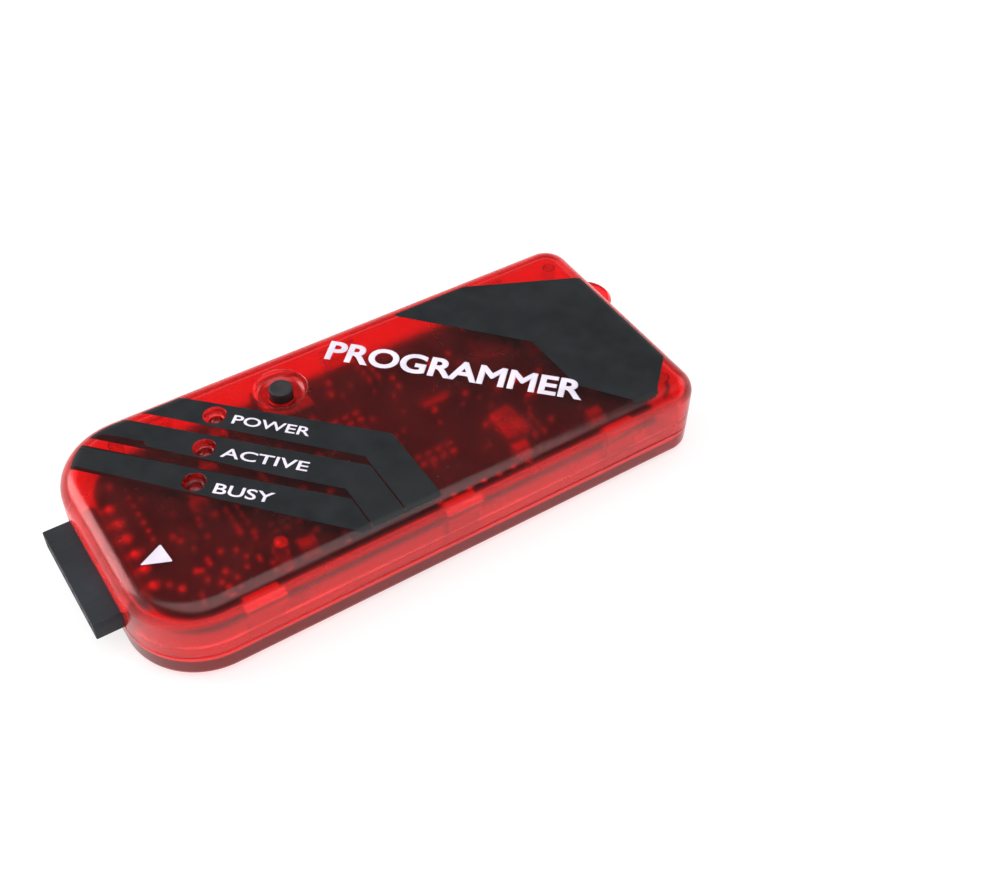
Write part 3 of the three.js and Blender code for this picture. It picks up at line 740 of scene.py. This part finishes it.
joined_with(upper_half, [
    block(
        (-HALF_LENGTH - 0.001, header_low.y - CLEARANCE, PARTING - 0.001),
        (-HALF_LENGTH + 0.004, header_high.y + CLEARANCE, header_high.z + CLEARANCE),
        0.0002,
    ),
    usb_opening(USB_CLEARANCE),
    *pockets,
    turned([(0, DISH_FLOOR), *dish(DISH_RADIUS - 0.00025, DISH_FLOOR, 0.0021, 0.00025)], BUTTON, 96),
    column(stem_hole, 0.005, CASE_TOP, BUTTON, 64),
    *[turned(well, place, 56) for place in well_places],
], "DIFFERENCE")
settle(upper_half)
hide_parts("top_shell")
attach(upper_half, "device")

# ---------------------------------------------------------------------------------------------
# Dark print on the upper half. Three slanted bands, one past each LED well, turn and run to the
# near edge, and a large faceted field covers the USB end but for its corners. One matte ink layer
# 0.02 mm thick follows the case's rounded edge and stops short of the side wall.
# ---------------------------------------------------------------------------------------------
INK_THICKNESS = 0.00002
PRINT_INSET = 0.0015
PRINT_LIFT = 0.000004
INK = (0.0105, 0.0125, 0.0145)


def surface_height(point):
    """Height of the upper half's outside over a point in plan."""
    inset, _ = edge_distance(point)
    into = max(TOP_EDGE - inset, 0)
    return CASE_TOP - TOP_EDGE + math.sqrt(max(TOP_EDGE**2 - into**2, 0))


def outline_prism(points):
    """A flat outline made a solid that reaches from inside the case's top to above it."""
    bm = bmesh.new()
    face = bm.faces.new([bm.verts.new((x, y, 0.008)) for x, y in points])
    lifted = bmesh.ops.extrude_face_region(bm, geom=[face])["geom"]
    raised = [item for item in lifted if isinstance(item, bmesh.types.BMVert)]
    bmesh.ops.translate(bm, vec=(0, 0, 0.006), verts=raised)
    bmesh.ops.recalc_face_normals(bm, faces=bm.faces)
    return bm


def lay_on_case(piece, thickness, lift):
    """Cuts a tall prism into strips and presses it onto the case's outside as one thin layer."""
    bm = bmesh.new()
    bm.from_mesh(piece.data)
    round_end = HEADER_END_RADIUS - HALF_LENGTH
    for step in range(25):
        inset = PRINT_INSET + 0.00035 * (step + 0.5)
        for side, half in (
            (Vector((-1, 0, 0)), HALF_LENGTH),
            (Vector((1, 0, 0)), HALF_LENGTH),
            (Vector((0, -1, 0)), HALF_WIDTH),
            (Vector((0, 1, 0)), HALF_WIDTH),
        ):
            faces = list(bm.faces)
            if inset > TOP_EDGE:
                faces = [face for face in faces if face.calc_center_median().x < round_end]
            geometry = [*{v for f in faces for v in f.verts}, *{e for f in faces for e in f.edges}, *faces]
            cut = side * (half - inset)
            bmesh.ops.bisect_plane(bm, geom=geometry, plane_co=cut, plane_no=side, dist=1e-7)
    for vert in bm.verts:
        upper = vert.co.z > 0.011
        vert.co.z = surface_height(vert.co.xy) + lift + (thickness if upper else 0)
    bm.to_mesh(piece.data)
    bm.free()
    piece.data.shade_smooth()
    piece.data.set_sharp_from_angle(angle=math.radians(35))


def ink_finish(name, colour, roughness):
    """Pad-printed ink: nearly even, with a fine orange-peel and slightly worn patches."""
    material, tree, ink = new_finish(name)
    ink.inputs["Specular IOR Level"].default_value = 0.25
    worn = grain(tree, 320, 5)
    peel = grain(tree, 5200, 2)
    pale = tuple(min(c * 1.25 + 0.002, 1) for c in colour)
    tree.links.new(blended(tree, between(tree, worn, 0, 1), colour, pale), ink.inputs["Base Color"])
    tree.links.new(between(tree, worn, roughness, roughness + 0.12), ink.inputs["Roughness"])
    relief(tree, ink, peel, 0.3, 0.00001)
    return material


BAND_EDGES = (
    ((-0.0233, 0.0191), (-0.0005, -0.0038)),
    ((-0.0257, 0.0167), (-0.0050, -0.0054)),
    ((-0.0268, 0.0156), (-0.0052, -0.0069)),
    ((-0.0309, 0.0144), (-0.0093, -0.0086)),
    ((-0.0317, 0.0135), (-0.0095, -0.0102)),
    ((-0.0344, 0.0108), (-0.0101, -0.0158)),
)
BAND_END = -0.03


def band(first, second):
    """A slanted band between two of the edges, with its bend and its run to the near side."""
    points = []
    for far, bend in (first, second):
        edge = [Vector(far) * 2 - Vector(bend), Vector(bend), Vector((bend[0], BAND_END))]
        points += edge if bend == first[1] else edge[::-1]
    return outline_prism(points)


usb_field = outline_prism([
    (0.0104, 0.0141), (0.0226, 0.0007), (0.0228, -0.0087), (0.0272, -0.0145), (0.0280, BAND_END),
    (0.0300, BAND_END), (0.0306, -0.0147), (0.0362, -0.0092), (0.0500, -0.0092), (0.0500, 0.0078),
    (0.0355, 0.0078), (0.0208, 0.0145), (0.0104, 0.0145),
])
within = swept_case([(PRINT_INSET, 0.007), (PRINT_INSET, 0.015)])
dark_print = made("dark_print", band(*BAND_EDGES[:2]), ink_finish("dark_ink", INK, 0.34))
joined_with(dark_print, [band(*BAND_EDGES[2:4]), band(*BAND_EDGES[4:]), usb_field], "UNION")
joined_with(dark_print, [within], "INTERSECT")
joined_with(dark_print, [
    *[column(WELL_RADIUS, 0.007, 0.015, place, 56) for place in well_places],
    column(DISH_RADIUS + 0.0002, 0.007, 0.015, BUTTON, 96),
], "DIFFERENCE")
lay_on_case(dark_print, INK_THICKNESS, PRINT_LIFT)
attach(dark_print, "device")

# ---------------------------------------------------------------------------------------------
# White print. A plain word beside each well, a plain word for what the tool is, and the triangle
# that marks pin 1 of the header. Pad-printed over the dark ink, 0.015 mm thick.
# ---------------------------------------------------------------------------------------------
WHITE = (0.69, 0.64, 0.74)
WHITE_THICKNESS = 0.000015
white_ink = ink_finish("white_ink", WHITE, 0.45)


def printed(words, start, length, height, weight):
    """A word laid flat along the bands: its lower left corner, how long and how tall it is."""
    name = "label_" + words.lower()
    curve = bpy.data.curves.new(name, "FONT")
    curve.body = words
    curve.size = height * 1.4
    curve.bevel_depth = weight
    curve.bevel_resolution = 0
    curve.resolution_u = 5
    curve.extrude = WHITE_THICKNESS / 2
    text = bpy.data.objects.new(name, curve)
    bpy.context.scene.collection.objects.link(text)
    mesh = bpy.data.meshes.new_from_object(text.evaluated_get(bpy.context.evaluated_depsgraph_get()))
    bpy.data.objects.remove(text)
    piece = bpy.data.objects.new(name, mesh)
    bpy.context.scene.collection.objects.link(piece)
    low = [min(vert.co[axis] for vert in mesh.vertices) for axis in range(3)]
    high = [max(vert.co[axis] for vert in mesh.vertices) for axis in range(3)]
    size = (length, height, WHITE_THICKNESS)
    fitted = Matrix.Diagonal((*(size[axis] / (high[axis] - low[axis]) for axis in range(3)), 1))
    place = Matrix.Translation((*start, CASE_TOP + INK_THICKNESS + 0.00001 + WHITE_THICKNESS / 2))
    slant = Matrix.Rotation(-math.pi / 4, 4, "Z")
    mesh.transform(place @ slant @ fitted @ Matrix.Translation((-low[0], -low[1], 0)))
    mesh.materials.clear()
    mesh.materials.append(white_ink)
    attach(piece, "device")


printed("POWER", (-0.01585, 0.00770), 0.0096, 0.00145, 0.00003)
printed("ACTIVE", (-0.01927, 0.00350), 0.0105, 0.00150, 0.00003)
printed("BUSY", (-0.02236, -0.00115), 0.0070, 0.00155, 0.00003)
printed("PROGRAMMER", (-0.0013, 0.0118), 0.0325, 0.0035, 0.00015)

triangle = outline_prism([(-0.0302, -0.00495), (-0.0332, -0.0065), (-0.0300, -0.00785)])
marker = made("pin_1_marker", triangle, white_ink)
bm = bmesh.new()
bm.from_mesh(marker.data)
uprights = [edge for edge in bm.edges if abs(edge.verts[0].co.z - edge.verts[1].co.z) > 0.001]
bmesh.ops.bevel(bm, geom=uprights, offset=0.0002, segments=4, profile=0.5, affect="EDGES", material=-1)
bm.to_mesh(marker.data)
bm.free()
lay_on_case(marker, WHITE_THICKNESS, PRINT_LIFT)
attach(marker, "device")

# ---------------------------------------------------------------------------------------------
# Studio. A plain pale table that glows a little, large soft boxes overhead and behind, two weak
# side fills, and a surround that is brightest near the horizon.
# ---------------------------------------------------------------------------------------------


def table_finish():
    material, tree, paper = new_finish("table")
    paper.inputs["Roughness"].default_value = 0.9
    paper.inputs["Base Color"].default_value = (0.4, 0.4, 0.4, 1)
    paper.inputs["Emission Color"].default_value = (1, 1, 1, 1)
    paper.inputs["Emission Strength"].default_value = 0.66
    paper.inputs["Specular IOR Level"].default_value = 0.2
    return material


table_bm = bmesh.new()
bmesh.ops.create_grid(table_bm, x_segments=1, y_segments=1, size=2)
bmesh.ops.translate(table_bm, vec=(0, 0, -0.0001), verts=table_bm.verts)
table = made("table", table_bm, table_finish())


def softbox(name, place, size, power):
    lamp = bpy.data.lights.new(name, "AREA")
    lamp.shape = "SQUARE"
    lamp.size = size
    lamp.energy = power
    box = bpy.data.objects.new(name, lamp)
    bpy.context.scene.collection.objects.link(box)
    box.location = place
    box.rotation_mode = "QUATERNION"
    box.rotation_quaternion = (-Vector(place)).to_track_quat("-Z", "Y")


softbox("overhead", (0.01, -0.075, 0.55), 0.58, 2.4)
softbox("back", (-0.4, 0.48, 0.4), 0.4, 3.2)
softbox("left_fill", (-0.5, 0.1, 0.3), 0.3, 0.35)
softbox("right_fill", (0.5, 0.0, 0.25), 0.3, 0.3)

world = bpy.data.worlds.new("surround")
bpy.context.scene.world = world
world.use_nodes = True
sky = world.node_tree
direction = sky.nodes.new("ShaderNodeTexCoord")
split = sky.nodes.new("ShaderNodeSeparateXYZ")
ramp = sky.nodes.new("ShaderNodeValToRGB")
ramp.color_ramp.elements[0].position = 0.0
ramp.color_ramp.elements[0].color = (1.0, 1.0, 1.0, 1)
ramp.color_ramp.elements[1].position = 0.55
ramp.color_ramp.elements[1].color = (0.2, 0.2, 0.2, 1)
sky.links.new(direction.outputs["Generated"], split.inputs["Vector"])
sky.links.new(split.outputs["Z"], ramp.inputs["Fac"])
sky.links.new(ramp.outputs["Color"], sky.nodes["Background"].inputs["Color"])
sky.nodes["Background"].inputs["Strength"].default_value = 1.0

# ---------------------------------------------------------------------------------------------
# Camera. It stands off the near corner of the header end and looks down on the printed face,
# rolled by a couple of degrees.
# ---------------------------------------------------------------------------------------------
AZIMUTH = math.radians(-34.6)
ELEVATION = math.radians(46.5)
ROLL = math.radians(1.89)
TARGET = Vector((0.01544, -0.00315, 0))
DISTANCE = 0.17016

camera = bpy.data.objects.new("camera", bpy.data.cameras.new("camera"))
bpy.context.scene.collection.objects.link(camera)
camera.data.lens = 47.5
camera.data.clip_start = 0.01
back = Vector((
    math.sin(AZIMUTH) * math.cos(ELEVATION), -math.cos(AZIMUTH) * math.cos(ELEVATION), math.sin(ELEVATION),
))
camera.location = TARGET + back * DISTANCE
camera.rotation_mode = "QUATERNION"
camera.rotation_quaternion = (-back).to_track_quat("-Z", "Y") @ Quaternion((0, 0, 1), ROLL)
bpy.context.scene.camera = camera
bpy.context.scene.view_settings.view_transform = "Standard"
